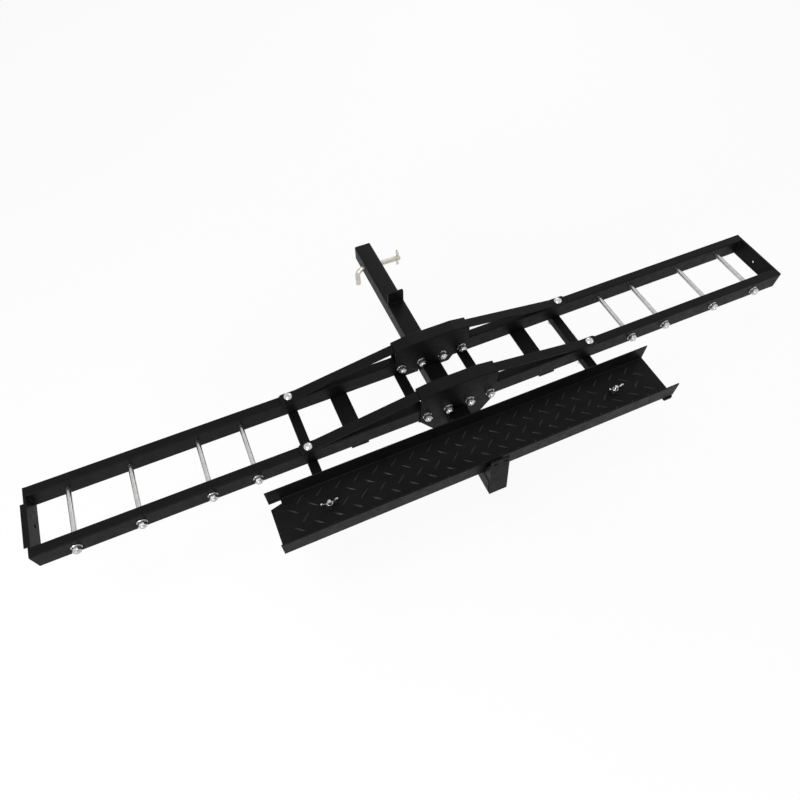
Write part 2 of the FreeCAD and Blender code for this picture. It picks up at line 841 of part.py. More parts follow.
round_edges(ramp, size("ramp_bend") - SHEET, lambda e: (
    along(e, 0) and abs(e.Vertexes[0].Z - sheet_now) < 0.01
    and abs(abs(e.Vertexes[0].Y) - (half_w - sheet_now)) < 0.01
))
ramp_end = size("ramp_length") / 2
tongue_root = size("lip_length") - ramp_end
floor_cut = new_sketch(ramp, "XY_Plane")
tongue_side = RAMP_HALF_W - SHEET - 2.5
polygon(floor_cut, [
    (-ramp_end - 1, -tongue_side),
    (tongue_root, -tongue_side),
    (tongue_root, tongue_side),
    (-ramp_end - 1, tongue_side),
])
cut(ramp, floor_cut, SHEET * 3)
tongue = new_sketch(ramp, "XZ_Plane")
hook_end = -size("lip_drop") - size("hook_leg")
under_bend = size("lip_drop") * SHEET / size("lip_length") - size("lip_drop")
polygon(tongue, [
    (tongue_root + 2, 0),
    (tongue_root + 2, SHEET),
    (tongue_root, SHEET),
    (-ramp_end, SHEET - size("lip_drop")),
    (-ramp_end, hook_end),
    (SHEET - ramp_end, hook_end),
    (SHEET - ramp_end, under_bend),
    (tongue_root, 0),
])
pad(ramp, tongue, (tongue_side - size("lip_gap")) * 2, both_ways=True)
stud_holes = new_sketch(ramp, "XY_Plane")
RAMP_MIDDLE = RAMP_REAR - RAMP_HALF_W
for side_sign in (-1, 1):
    circle(stud_holes, side_sign * size("arm_at"), STUD_Y - RAMP_MIDDLE, size("stud_dia") + 1.5)
cut(ramp, stud_holes, SHEET * 4)
place(ramp, 0, RAMP_MIDDLE, ARM_FLOOR)
keep(ramp)

# Foot under the ramp's far end, a little proud of the near wall.
foot_bar = new_body("ramp_foot")
outline = new_sketch(foot_bar, "XY_Plane")
foot_half = size("foot_width") / 2
foot_reach = RAMP_HALF_W - size("ramp_bend")
polygon(outline, [
    (-foot_half, -(RAMP_HALF_W + 3)),
    (foot_half, -(RAMP_HALF_W + 3)),
    (foot_half, foot_reach),
    (-foot_half, foot_reach),
])
pad(foot_bar, outline, size("foot_thick"), backwards=True)
round_edges(foot_bar, dim(3), lambda e: along(e, 2))
place(foot_bar, ramp_end - foot_half - size("foot_inset"), RAMP_MIDDLE, ARM_FLOOR)
keep(foot_bar)

# Ramp studs: bolts up through the arms, each with a washer and a wing nut on the ramp's floor.
STUD = size("stud_dia")
stud = bolt("stud_bolt", dim(17), dim(6.5), STUD, size("stud_length"))
STUD_SPOTS = [(sign * size("arm_at"), STUD_Y) for sign in (-1, 1)]
keep(group("ramp_studs", stud, [
    (x, y, ARM_FLOOR - size("arm_side"), None) for x, y in STUD_SPOTS
]))
big_washer = washer("ramp_washer", dim(26), STUD + GAP * 2, dim(2))
keep(group("ramp_washers", big_washer, [(x, y, ARM_FLOOR + SHEET, None) for x, y in STUD_SPOTS]))


def wing_nut(name, x):
    body = new_body(name)
    half = new_sketch(body, "XZ_Plane")
    polygon(half, [
        (0, 0),
        (9.5, 0),
        (9.5, 2),
        (7.4, 11),
        (6.6, 12),
        (0, 12),
    ])
    hub = body.newObject("PartDesign::Revolution", name + "_hub")
    hub.Profile = half
    hub.ReferenceAxis = (half, ["V_Axis"])
    hub.Angle = 360
    doc.recompute()
    tip = size("wing_span") / 2
    wings = new_sketch(body, "XZ_Plane")
    polygon(wings, [
        (-8, 1),
        (8, 1),
        (tip - 5, 9),
        (tip, 16),
        (tip - 1, 20.5),
        (tip - 5, 21.5),
        (tip - 9, 18),
        (6.8, 10.5),
        (-6.8, 10.5),
        (9 - tip, 18),
        (5 - tip, 21.5),
        (1 - tip, 20.5),
        (-tip, 16),
        (5 - tip, 9),
    ])
    pad(body, wings, dim(3.6), both_ways=True)
    bore = new_sketch(body, "XY_Plane")
    circle(bore, 0, 0, STUD + GAP * 2)
    cut(body, bore, dim(80))
    place(body, x, STUD_Y, ARM_FLOOR + SHEET + 2)
    keep(body)


wing_nut("wing_nut_left", -size("arm_at"))
wing_nut("wing_nut_right", size("arm_at"))

# Front bracket: plate that closes the tube's near end and leans back to the ramp's wall, with
# two slots near its top and two flanges that stand on the tube behind it. Local x = 0, the
# profile is drawn in the carrier's own Y and Z.
bracket = new_body("front_bracket")
side = new_sketch(bracket, "YZ_Plane")
RISE = size("bracket_rise")
polygon(side, [
    (BRACKET_FOOT, -TUBE_TOP),
    (BRACKET_FOOT + CAP, -TUBE_TOP),
    (BRACKET_FOOT + CAP + LEAN * RISE, RISE - TUBE_TOP),
    (BRACKET_FOOT + LEAN * RISE, RISE - TUBE_TOP),
])
pad(bracket, side, size("bracket_width"), both_ways=True)
flange_back = RAMP_FRONT - 2.5
tube_line = BRACKET_FOOT + CAP + LEAN * TUBE_TOP * 2
upper = RISE - size("slot_below_top") - size("slot_width") / 2 - size("flange_below_slot")
for sign in (-1, 1):
    wing_side = new_sketch(bracket, "YZ_Plane", sign * (size("bracket_width") / 2 - PLATE / 2))
    polygon(wing_side, [
        (tube_line - 2, TUBE_TOP),
        (flange_back, TUBE_TOP),
        (flange_back, TUBE_TOP + 30),
        (BRACKET_FOOT + CAP + LEAN * upper + 2, upper - TUBE_TOP),
        (BRACKET_FOOT + CAP + LEAN * upper - 2, upper - TUBE_TOP),
    ])
    pad(bracket, wing_side, PLATE, both_ways=True)
slots = new_sketch(bracket, "XZ_Plane", -(BRACKET_FOOT + LEAN * RISE))
slot_z = RISE - TUBE_TOP - size("slot_below_top")
for sign in (-1, 1):
    long_hole(slots, sign * size("slot_at"), slot_z, size("slot_length"), size("slot_width"))
cut(bracket, slots, PLATE * 6)
keep(bracket)

def straight(sketch, start, end):
    """A line of a wire's route, in the route's own plane."""
    line = Part.LineSegment(FreeCAD.Vector(*start, 0), FreeCAD.Vector(*end, 0))
    return sketch.addGeometry(line, False)


def bend(sketch, centre, radius, start, end):
    """An arc of a wire's route, counter-clockwise between two angles in degrees."""
    ring = Part.Circle(FreeCAD.Vector(*centre, 0), FreeCAD.Vector(0, 0, 1), radius)
    arc = Part.ArcOfCircle(ring, math.radians(start), math.radians(end))
    return sketch.addGeometry(arc, False)


def smooth(sketch, *joins):
    """Make neighbouring stretches of a route meet without a kink."""
    for first, first_end, second, second_end in joins:
        sketch.addConstraint(
            Sketcher.Constraint("Tangent", first, first_end, second, second_end)
        )


def sweep(body, section, route):
    """Carry a round section along a route."""
    feature = body.newObject("PartDesign::AdditivePipe", body.Name + "_sweep")
    feature.Profile = section
    feature.Spine = (route, [])
    doc.recompute()


# Hitch pin: straight shank through the tube along X, grip bent down beside the tube, cross
# hole near the free end for the clip.
pin = new_body("hitch_pin")
PIN = size("pin_dia")
PIN_TIP = TUBE_TOP + size("pin_past_tube")
CLIP_X = PIN_TIP - size("clip_from_tip")
GRIP_X = -(TUBE_TOP + size("grip_beside_tube"))
path = new_sketch(pin, "XZ_Plane")
turn = SIZES["grip_bend"]
shank_line = straight(path, (PIN_TIP.value, 0), (GRIP_X.value + turn, 0))
grip_bend = bend(path, (GRIP_X.value + turn, -turn), turn, 90, 180)
grip_line = straight(path, (GRIP_X.value, -turn), (GRIP_X.value, -SIZES["grip_drop"]))
smooth(path, (shank_line, 2, grip_bend, 1), (grip_bend, 2, grip_line, 1))
path.addConstraint(Sketcher.Constraint("Horizontal", shank_line))
path.addConstraint(Sketcher.Constraint("Vertical", grip_line))
path.addConstraint(Sketcher.Constraint("PointOnObject", shank_line, 1, -1))
drive(path, "Radius", grip_bend, size("grip_bend"))
drive(path, "DistanceX", -1, 1, shank_line, 1, PIN_TIP)
drive(path, "DistanceX", -1, 1, grip_line, 2, GRIP_X)
drive(path, "DistanceY", -1, 1, grip_line, 2, -size("grip_drop"))
section = new_sketch(pin, "YZ_Plane", PIN_TIP)
circle(section, 0, 0, PIN)
sweep(pin, section, path)
tip_now = PIN_TIP.value
round_edges(pin, dim(2.5), lambda e: e.BoundBox.XMin > tip_now - 0.1, "PartDesign::Chamfer")
clip_hole = new_sketch(pin, "XY_Plane")
circle(clip_hole, CLIP_X, 0, size("clip_wire") + size("clip_play"))
cut(pin, clip_hole, PIN * 3)
place(pin, 0, -size("pin_from_end"), 0)
keep(pin)

# R-clip: spring wire, drawn in the carrier's Y and Z. One straight leg goes down through the
# pin, the round head is on top, and the wire comes back in to lie beside the pin and flares.
clip = new_body("hitch_pin_clip")
route = new_sketch(clip, "YZ_Plane")
WIRE = size("clip_wire")
SIDE_Y = -(PIN / 2 + WIRE / 2 + size("clip_beside_pin"))
side = SIDE_Y.value
head = SIZES["clip_head"]
neck = SIZES["clip_neck"]
flare = SIZES["clip_flare"]
swing = math.degrees(math.acos(-side / head / 2))
back_in = neck - 2 * head * math.sin(math.radians(swing))
side_end = -SIZES["clip_side_end"]
lift = math.degrees(math.asin((SIZES["clip_tip"] + side_end) / flare))
leg = straight(route, (0, -SIZES["clip_below"]), (0, neck))
round_head = bend(route, (-head, neck), head, 0, 180 + swing)
waist = bend(route, (side - head, back_in), head, 0, swing)
side_leg = straight(route, (side, back_in), (side, side_end))
flare_out = bend(route, (side - flare, side_end), flare, -lift, 0)
smooth(
    route,
    (leg, 2, round_head, 1),
    (round_head, 2, waist, 2),
    (waist, 1, side_leg, 1),
    (side_leg, 2, flare_out, 2),
)
route.addConstraint(Sketcher.Constraint("PointOnObject", leg, 1, -2))
route.addConstraint(Sketcher.Constraint("Vertical", leg))
route.addConstraint(Sketcher.Constraint("Vertical", side_leg))
route.addConstraint(Sketcher.Constraint("Equal", round_head, waist))
drive(route, "DistanceY", -1, 1, leg, 1, -size("clip_below"))
drive(route, "DistanceY", -1, 1, leg, 2, size("clip_neck"))
drive(route, "Radius", round_head, size("clip_head"))
drive(route, "DistanceX", -1, 1, side_leg, 2, SIDE_Y)
drive(route, "DistanceY", -1, 1, side_leg, 2, -size("clip_side_end"))
drive(route, "Radius", flare_out, size("clip_flare"))
drive(route, "DistanceY", -1, 1, flare_out, 1, -size("clip_tip"))
section = new_sketch(clip, "XY_Plane", -size("clip_below"))
circle(section, 0, 0, WIRE)
sweep(clip, section, route)
place(clip, CLIP_X, -size("pin_from_end"), 0)
keep(clip)

# Everything must be sound before anything is written.
doc.recompute()
for thing in doc.Objects:
    if "Invalid" in thing.State or "Error" in thing.State:
        raise RuntimeError("%s failed: %s" % (thing.Label, thing.State))
for part in PARTS:
    if part.Shape.isNull() or not part.Shape.isValid():
        raise RuntimeError("%s has no sound shape" % part.Label)
    if part.TypeId == "PartDesign::Body" and len(part.Shape.Solids) != 1:
        raise RuntimeError("%s is in %d pieces" % (part.Label, len(part.Shape.Solids)))

os.makedirs("parts", exist_ok=True)
for part in PARTS:
    part.Shape.exportStep(os.path.join("parts", part.Label + ".step"))
print("wrote %d parts" % len(PARTS))
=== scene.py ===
import math

import bmesh
import bpy
from bpy.props import FloatProperty, FloatVectorProperty, IntProperty, PointerProperty
from mathutils import Matrix, Vector


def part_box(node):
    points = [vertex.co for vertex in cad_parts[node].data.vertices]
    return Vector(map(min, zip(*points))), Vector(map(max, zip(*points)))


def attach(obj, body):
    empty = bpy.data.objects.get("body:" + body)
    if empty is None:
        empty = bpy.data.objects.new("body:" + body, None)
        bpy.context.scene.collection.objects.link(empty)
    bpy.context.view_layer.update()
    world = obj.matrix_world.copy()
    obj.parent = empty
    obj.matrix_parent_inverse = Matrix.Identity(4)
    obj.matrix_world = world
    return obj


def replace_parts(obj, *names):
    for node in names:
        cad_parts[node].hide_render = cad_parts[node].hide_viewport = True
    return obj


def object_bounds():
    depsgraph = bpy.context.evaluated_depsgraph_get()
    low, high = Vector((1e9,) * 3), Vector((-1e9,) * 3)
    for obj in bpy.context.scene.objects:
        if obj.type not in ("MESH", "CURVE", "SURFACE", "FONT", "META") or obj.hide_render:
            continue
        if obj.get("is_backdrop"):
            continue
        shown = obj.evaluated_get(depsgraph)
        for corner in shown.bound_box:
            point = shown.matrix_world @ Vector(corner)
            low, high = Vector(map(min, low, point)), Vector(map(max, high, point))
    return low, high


bl_info = {
    "name": "Motorcycle Carrier Dressing",
    "version": (1, 0, 0),
    "blender": (4, 5, 0),
    "location": "View3D > Sidebar > Carrier",
    "description": "Finishes, hardware, tread and welds for a hitch motorcycle carrier",
    "category": "Object",
}

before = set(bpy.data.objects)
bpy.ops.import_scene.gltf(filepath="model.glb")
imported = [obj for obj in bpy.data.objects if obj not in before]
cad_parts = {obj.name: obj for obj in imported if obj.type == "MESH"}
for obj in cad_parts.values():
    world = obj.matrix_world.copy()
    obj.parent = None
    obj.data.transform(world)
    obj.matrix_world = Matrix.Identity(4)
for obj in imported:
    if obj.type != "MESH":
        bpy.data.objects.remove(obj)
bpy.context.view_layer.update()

MM = 0.001
MERGE = 1e-5
SHARP_ANGLE = math.radians(32)
RIM_ANGLE = math.radians(40)
SHEET_EDGE_ANGLE = math.radians(50)
Y_DOWN = Matrix.Rotation(math.radians(90), 4, "X")
UPRIGHT = Matrix.Identity(4)
UPSIDE_DOWN = Matrix.Rotation(math.pi, 4, "X")

SHEET_NODES = (
    "stop_plate", "end_plate_left", "end_plate_right", "ramp_ledge_left", "ramp_ledge_right",
    "wide_bar_left", "wide_bar_right", "narrow_bar_left", "narrow_bar_right",
    "brace_rear_left", "brace_rear_right", "brace_front_left", "brace_front_right",
    "saddle_rear", "saddle_front", "front_bracket",
)
TUBE_NODES = (
    "hitch_tube", "rail_rear_left", "rail_rear_right", "rail_front_left", "rail_front_right",
    "arm_left", "arm_right",
)

# Name, place in metres, side in metres and power in watts
LAMPS = (
    ("key", (-2.6, -3.0, 1.5), 1.4, 70),
    ("overhead", (-1.1, -1.1, 3.0), 0.9, 26),
    ("fill", (2.8, -1.8, 1.6), 1.6, 8),
    ("back", (1.8, 2.5, 1.8), 1.1, 20),
)
LAMP_AIM = Vector((0, -0.6, 0))


class CoatSettings(bpy.types.PropertyGroup):
    coat: FloatVectorProperty(
        name="Coat", description="Powder coat on the frame", subtype="COLOR",
        size=3, min=0, max=1, default=(0.0032, 0.0033, 0.0037),
    )
    ramp_coat: FloatVectorProperty(
        name="Ramp coat", description="Powder coat on the ramp", subtype="COLOR",
        size=3, min=0, max=1, default=(0.0042, 0.0043, 0.0047),
    )
    zinc: FloatVectorProperty(
        name="Zinc", description="Bright zinc plating", subtype="COLOR",
        size=3, min=0, max=1, default=(0.54, 0.54, 0.53),
    )
    pin_zinc: FloatVectorProperty(
        name="Pin zinc", description="Plating of the hitch pin and its clip", subtype="COLOR",
        size=3, min=0, max=1, default=(0.6, 0.565, 0.5),
    )
    gloss: FloatProperty(
        name="Gloss level", description="Specular level of the coat", min=0, max=1, default=0.08,
    )
    lug_gloss: FloatProperty(
        name="Lug gloss level", description="Specular level of the worn tread lugs",
        min=0, max=1, default=0.24,
    )
    edge_round: FloatProperty(
        name="Edge round", description="Rounding of cut sheet edges", unit="LENGTH",
        min=0, default=0.6 * MM,
    )


class HardwareSettings(bpy.types.PropertyGroup):
    shank: FloatProperty(
        name="Shank", description="Diameter of the frame bolts", unit="LENGTH",
        min=0.001, default=12 * MM,
    )
    stud: FloatProperty(
        name="Stud", description="Diameter of the ramp studs", unit="LENGTH",
        min=0.001, default=10 * MM,
    )
    flats: FloatProperty(
        name="Flats", description="Width across a hexagon's flats", unit="LENGTH",
        min=0.001, default=19 * MM,
    )
    stud_flats: FloatProperty(
        name="Stud flats", description="Width across a stud head's flats", unit="LENGTH",
        min=0.001, default=17 * MM,
    )
    head: FloatProperty(
        name="Head", description="Height of a hexagon head", unit="LENGTH",
        min=0.001, default=8 * MM,
    )
    stud_head: FloatProperty(
        name="Stud head", description="Height of a stud's head", unit="LENGTH",
        min=0.001, default=6.5 * MM,
    )
    pitch: FloatProperty(
        name="Thread pitch", description="Distance between thread crests", unit="LENGTH",
        min=0.0005, default=1.75 * MM,
    )
    threaded: FloatProperty(
        name="Threaded end", description="Length of thread at a bolt's end", unit="LENGTH",
        min=0.001, default=22 * MM,
    )
    point: FloatProperty(
        name="Point", description="Length of the chamfer past a bolt's thread", unit="LENGTH",
        min=0, default=1.2 * MM,
    )
    washer_bore: FloatProperty(
        name="Washer bore", description="A washer's bore as a share of its bolt's diameter",
        min=1, default=1.05,
    )
    brace: FloatProperty(
        name="Brace", description="Thickness of the brace under a dome head", unit="LENGTH",
        min=0.001, default=5 * MM,
    )
    wing_round: FloatProperty(
        name="Wing round", description="Rounding of a wing nut's edges", unit="LENGTH",
        min=0, default=0.9 * MM,
    )


class TreadSettings(bpy.types.PropertyGroup):
    pitch: FloatProperty(
        name="Pitch", description="Distance between lugs of one row", unit="LENGTH",
        min=0.005, default=47.5 * MM,
    )
    row_gap: FloatProperty(
        name="Row gap", description="Distance between neighbouring rows", unit="LENGTH",
        min=0.005, default=24 * MM,
    )
    first_row: FloatProperty(
        name="First row", description="Place of the outermost row across the ramp", unit="LENGTH",
        default=-834 * MM,
    )
    phase: FloatProperty(
        name="Phase", description="Place along the ramp of a lug in the second row", unit="LENGTH",
        default=3 * MM,
    )
    lug_length: FloatProperty(
        name="Lug length", description="Length of a raised lug", unit="LENGTH",
        min=0.002, default=28 * MM,
    )
    lug_width: FloatProperty(
        name="Lug width", description="Width of a raised lug", unit="LENGTH",
        min=0.001, default=5 * MM,
    )
    lug_height: FloatProperty(
        name="Lug height", description="Height of a raised lug", unit="LENGTH",
        min=0.0002, default=1.3 * MM,
    )
    lug_turn: FloatProperty(
        name="Lug turn", description="Angle of a lug to the ramp", subtype="ANGLE",
        default=math.radians(39.3),
    )
    rows: IntProperty(name="Rows", description="Rows across the floor", min=1, default=5)
    left_margin: FloatProperty(
        name="Left margin", description="Plain floor at the ground end", unit="LENGTH",
        min=0, default=35 * MM,
    )
    right_margin: FloatProperty(
        name="Right margin", description="Plain floor at the other end", unit="LENGTH",
        min=0, default=18 * MM,
    )
    stud_clear: FloatProperty(
        name="Stud clearance", description="Plain floor round a stud", unit="LENGTH",
        min=0, default=27 * MM,
    )


class WeldSettings(bpy.types.PropertyGroup):
    bead: FloatProperty(
        name="Bead", description="Radius of a weld bead", unit="LENGTH",
        min=0.0005, default=2.6 * MM,
    )
    ripple: FloatProperty(
        name="Ripple", description="Distance between a bead's ripples", unit="LENGTH",
        min=0.001, default=3.0 * MM,
    )
    inset: FloatProperty(
        name="Inset", description="Distance from a bead's end to a plate's corner",
        unit="LENGTH", min=0, default=5 * MM,
    )
    ledge_bead: FloatProperty(
        name="Ledge bead", description="Radius of a ledge's bead as a share of the others",
        min=0.1, max=1, default=0.8,
    )
    ledge_inset: FloatProperty(
        name="Ledge inset", description="Distance from a bead's end to a ledge's corner",
        unit="LENGTH", min=0, default=1 * MM,
    )


class StageSettings(bpy.types.PropertyGroup):
    drop: FloatProperty(
        name="Drop", description="Height of the carrier above the floor", unit="LENGTH",
        min=0, default=0.32,
    )
    floor_reach: FloatProperty(
        name="Floor reach", description="Distance from the floor's middle to its edge",
        unit="LENGTH", min=1, default=60,
    )
    floor_middle: FloatProperty(
        name="Floor middle", description="Place of the floor's middle along Y",
        unit="LENGTH", default=-0.5,
    )
    glow: FloatProperty(
        name="Glow", description="Share of plain white in the floor that a camera sees",
        min=0, max=1, default=0.86,
    )
    ambient: FloatProperty(
        name="Ambient", description="Strength of the light from all round", min=0, default=0.6,
    )
    lens: FloatProperty(name="Lens", description="Focal length", unit="CAMERA", default=27.26)
    place: FloatVectorProperty(
        name="Camera", description="Camera position", subtype="TRANSLATION",
        size=3, default=(-0.4523, -1.37877, 1.32599),
    )
    azimuth: FloatProperty(
        name="Azimuth", description="Camera azimuth", subtype="ANGLE",
        default=math.radians(-22.28),
    )
    elevation: FloatProperty(
        name="Elevation", description="Camera elevation", subtype="ANGLE",
        default=math.radians(56.39),
    )
    roll: FloatProperty(
        name="Roll", description="Camera roll", subtype="ANGLE", default=math.radians(-1.54),
    )


# Meshes

def solids_of(node):
    """Lowest and highest corner of every separate solid in a CAD node."""
    bm = bmesh.new()
    bm.from_mesh(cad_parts[node].data)
    bmesh.ops.remove_doubles(bm, verts=bm.verts, dist=MERGE)
    left = set(bm.verts)
    found = []
    while left:
        queue = [left.pop()]
        points = []
        while queue:
            vert = queue.pop()
            points.append(vert.co.copy())
            for edge in vert.link_edges:
                other = edge.other_vert(vert)
                if other in left:
                    left.remove(other)
                    queue.append(other)
        low = Vector([min(p[i] for p in points) for i in range(3)])
        high = Vector([max(p[i] for p in points) for i in range(3)])
        found.append((low, high))
    bm.free()
    return sorted(found, key=lambda pair: tuple(pair[0]))


def add_piece(name, bm, body, material):
    """Turn a finished bmesh into a piece that rides on a body."""
    bmesh.ops.recalc_face_normals(bm, faces=bm.faces)
    mesh = bpy.data.meshes.new(name)
    bm.to_mesh(mesh)
    bm.free()
    mesh.polygons.foreach_set("use_smooth", [True] * len(mesh.polygons))
    mesh.set_sharp_from_angle(angle=SHARP_ANGLE)
    mesh.materials.append(material)
    piece = bpy.data.objects.new(name, mesh)
    bpy.context.scene.collection.objects.link(piece)
    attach(piece, body)
    return piece


def round_rims(bm, verts, width):
    """Bevel the edges between faces that meet at more than RIM_ANGLE."""
    wanted = set(verts)
    edges = [
        e for e in bm.edges
        if e.verts[0] in wanted and e.verts[1] in wanted
        and len(e.link_faces) == 2 and e.calc_face_angle(0) > RIM_ANGLE
    ]
    bmesh.ops.bevel(
        bm, geom=edges, offset=width, offset_type="OFFSET", segments=2,
        profile=0.5, affect="EDGES", material=-1, clamp_overlap=True,
    )


def revolve(bm, outline, place, steps=32):
    """Spin an outline of (radius, height) pairs round local Z and put it in place."""
    verts = [bm.verts.new((r, 0, z)) for r, z in outline]
    edges = [bm.edges.new(pair) for pair in zip(verts, verts[1:])]
    before = set(bm.verts) - set(verts)
    bmesh.ops.spin(
        bm, geom=verts + edges, cent=(0, 0, 0), axis=(0, 0, 1),
        angle=2 * math.pi, steps=steps, use_merge=True,
    )
    made = [v for v in bm.verts if v not in before]
    bmesh.ops.remove_doubles(bm, verts=made, dist=MERGE)
    made = [v for v in bm.verts if v not in before]
    bmesh.ops.transform(bm, matrix=place, verts=made)


def hexagon(bm, flats, low, high, place):
    """A hexagon prism on local Z with softened rims."""
    corner = flats / math.sqrt(3)
    before = set(bm.verts)
    bmesh.ops.create_cone(
        bm, cap_ends=True, segments=6, radius1=corner, radius2=corner, depth=high - low,
        matrix=Matrix.Translation((0, 0, (low + high) / 2)) @ Matrix.Rotation(math.pi / 6, 4, "Z"),
    )
    made = [v for v in bm.verts if v not in before]
    round_rims(bm, made, flats * 0.035)
    made = [v for v in bm.verts if v not in before]
    bmesh.ops.transform(bm, matrix=place, verts=made)


def thread_outline(radius, start, end, pitch):
    """Crests and roots of a thread between two heights, as (radius, height) pairs."""
    root = radius - pitch * 0.35
    turns = max(1, int((end - start) / pitch))
    step = (end - start) / turns
    pairs = []
    for i in range(turns):
        pairs.append((root, start + step * i))
        pairs.append((radius, start + step * (i + 0.5)))
    pairs.append((root, end))
    return pairs


def bolt(bm, kit, place, length, flats, head, shank):
    """A hexagon bolt: head below local z = 0, threaded end at z = length."""
    hexagon(bm, flats, -head, 0, place)
    radius = shank / 2
    start = max(length - kit.threaded, length * 0.3)
    outline = [(0, 0), (radius, 0), (radius, start)]
    outline += thread_outline(radius, start, length - kit.point, kit.pitch)
    outline += [(radius * 0.78, length), (0, length)]
    revolve(bm, outline, place, steps=24)


def flat_washer(bm, place, thick, outer, bore):
    """A washer from local z = 0 upwards, with a softened outer rim."""
    soft = thick * 0.22
    outline = [
        (bore, 0), (outer - soft, 0), (outer, soft), (outer, thick - soft),
        (outer - soft, thick), (bore, thick), (bore, 0),
    ]
    revolve(bm, outline, place, steps=32)


def seat(low, high, along):
    """Matrix from a solid's box: local Z runs along -Y, +Z or -Z, from the solid's near end."""
    middle = (low + high) / 2
    if along == "-Y":
        return Matrix.Translation((middle.x, high.y, middle.z)) @ Y_DOWN
    if along == "-Z":
        return Matrix.Translation((middle.x, middle.y, high.z)) @ UPSIDE_DOWN
    return Matrix.Translation((middle.x, middle.y, low.z)) @ UPRIGHT


def extent(low, high, along):
    """A solid's length along its own axis."""
    return high.y - low.y if along == "-Y" else high.z - low.z


def weld(bm, start, end, radius, ripple):
    """A rippled bead from one point to another."""
    start = Vector(start)
    end = Vector(end)
    run = end - start
    steps = max(4, int(run.length / ripple) * 2)
    turn = run.to_track_quat("Z", "Y").to_matrix().to_4x4()
    outline = [(0, 0)]
    for i in range(1, steps):
        swell = 1.0 if i % 2 else 0.86
        taper = min(1.0, 0.45 + 0.35 * min(i, steps - i))
        outline.append((radius * swell * taper, run.length * i / steps))
    outline.append((0, run.length))
    revolve(bm, outline, Matrix.Translation(start) @ turn, steps=10)


# Finishes

def shader(name, base, roughness, metallic=0.0, gloss=0.5):
    """A material with its Principled shader and an Object-coordinate source."""
    material = bpy.data.materials.new(name)
    material.use_nodes = True
    nodes = material.node_tree.nodes
    surface = nodes["Principled BSDF"]
    surface.inputs["Base Color"].default_value = (*base, 1)
    surface.inputs["Roughness"].default_value = roughness
    surface.inputs["Metallic"].default_value = metallic
    surface.inputs["Specular IOR Level"].default_value = gloss
    coordinates = nodes.new("ShaderNodeTexCoord")
    return material, surface, coordinates


def noise(material, coordinates, scale, detail=4.0, roughness=0.55):
    """A noise texture in the piece's own metres."""
    node = material.node_tree.nodes.new("ShaderNodeTexNoise")
    node.inputs["Scale"].default_value = scale
    node.inputs["Detail"].default_value = detail
    node.inputs["Roughness"].default_value = roughness
    material.node_tree.links.new(coordinates.outputs["Object"], node.inputs["Vector"])
    return node


def spread(material, source, low, high):
    """Stretch the middle of a noise texture's values to a range."""
    node = material.node_tree.nodes.new("ShaderNodeMapRange")
    node.inputs["From Min"].default_value = 0.3
    node.inputs["From Max"].default_value = 0.7
    node.inputs["To Min"].default_value = low
    node.inputs["To Max"].default_value = high
    material.node_tree.links.new(source, node.inputs["Value"])
    return node.outputs["Result"]


def tint(material, surface, factor, light, dark):
    """Mix two colours by a factor into the base colour."""
    node = material.node_tree.nodes.new("ShaderNodeMix")
    node.data_type = "RGBA"
    node.inputs["A"].default_value = (*dark, 1)
    node.inputs["B"].default_value = (*light, 1)
    material.node_tree.links.new(factor, node.inputs["Factor"])
    material.node_tree.links.new(node.outputs["Result"], surface.inputs["Base Color"])


def emboss(material, surface, height, strength, distance):
    """Bump from a height."""
    node = material.node_tree.nodes.new("ShaderNodeBump")
    node.inputs["Strength"].default_value = strength
    node.inputs["Distance"].default_value = distance
    material.node_tree.links.new(height, node.inputs["Height"])
    material.node_tree.links.new(node.outputs["Normal"], surface.inputs["Normal"])


def scaled(colour, factor):
    """A colour made lighter or darker."""
    return tuple(min(1.0, c * factor) for c in colour)


def powder_coat(name, colour, gloss, smoothest=0.4, roughest=0.54):
    """Baked powder coat: fine orange peel, faint dust and uneven sheen."""
    material, surface, coordinates = shader(name, colour, 0.45, gloss=gloss)
    dust = noise(material, coordinates, 14, detail=6)
    tint(
        material, surface, spread(material, dust.outputs["Fac"], 0, 1),
        scaled(colour, 1.35), scaled(colour, 0.8),
    )
    sheen = noise(material, coordinates, 55, detail=3)
    sheen_range = spread(material, sheen.outputs["Fac"], smoothest, roughest)
    material.node_tree.links.new(sheen_range, surface.inputs["Roughness"])
    peel = noise(material, coordinates, 620, detail=2, roughness=0.4)
    emboss(material, surface, peel.outputs["Fac"], 0.14, 0.25 * MM)
    return material


def zinc_plate(name, colour):
    """Bright plated steel: clouded roughness and faint passivation bands."""
    material, surface, coordinates = shader(name, colour, 0.24, metallic=1.0)
    cloud = noise(material, coordinates, 90, detail=5)
    tint(
        material, surface, spread(material, cloud.outputs["Fac"], 0, 1),
        scaled(colour, 1.1), scaled(colour, 0.82),
    )
    grain = noise(material, coordinates, 420, detail=4)
    grain_range = spread(material, grain.outputs["Fac"], 0.17, 0.36)
    material.node_tree.links.new(grain_range, surface.inputs["Roughness"])
    emboss(material, surface, grain.outputs["Fac"], 0.08, 0.1 * MM)
    return material


def finish(name):
    """One of the finishes, made the first time that it is asked for."""
    made = bpy.data.materials.get(name)
    if made is not None:
        return made
    coat = bpy.context.scene.carrier_coat
    if name == "carrier_powder_coat":
        return powder_coat(name, coat.coat, coat.gloss)
    if name == "carrier_ramp_coat":
        return powder_coat(name, coat.ramp_coat, coat.gloss)
    # The lug coat is the ramp coat lightened 1.4 times: a painted highlight that makes the lugs
    # glint brighter than the floor.
    if name == "carrier_lug_coat_painted_glint":
        return powder_coat(name, scaled(coat.ramp_coat, 1.4), coat.lug_gloss, 0.24, 0.36)
    if name == "carrier_zinc":
        return zinc_plate(name, coat.zinc)
    if name == "carrier_pin_zinc":
        return zinc_plate(name, coat.pin_zinc)
    raise RuntimeError("no finish named %s" % name)


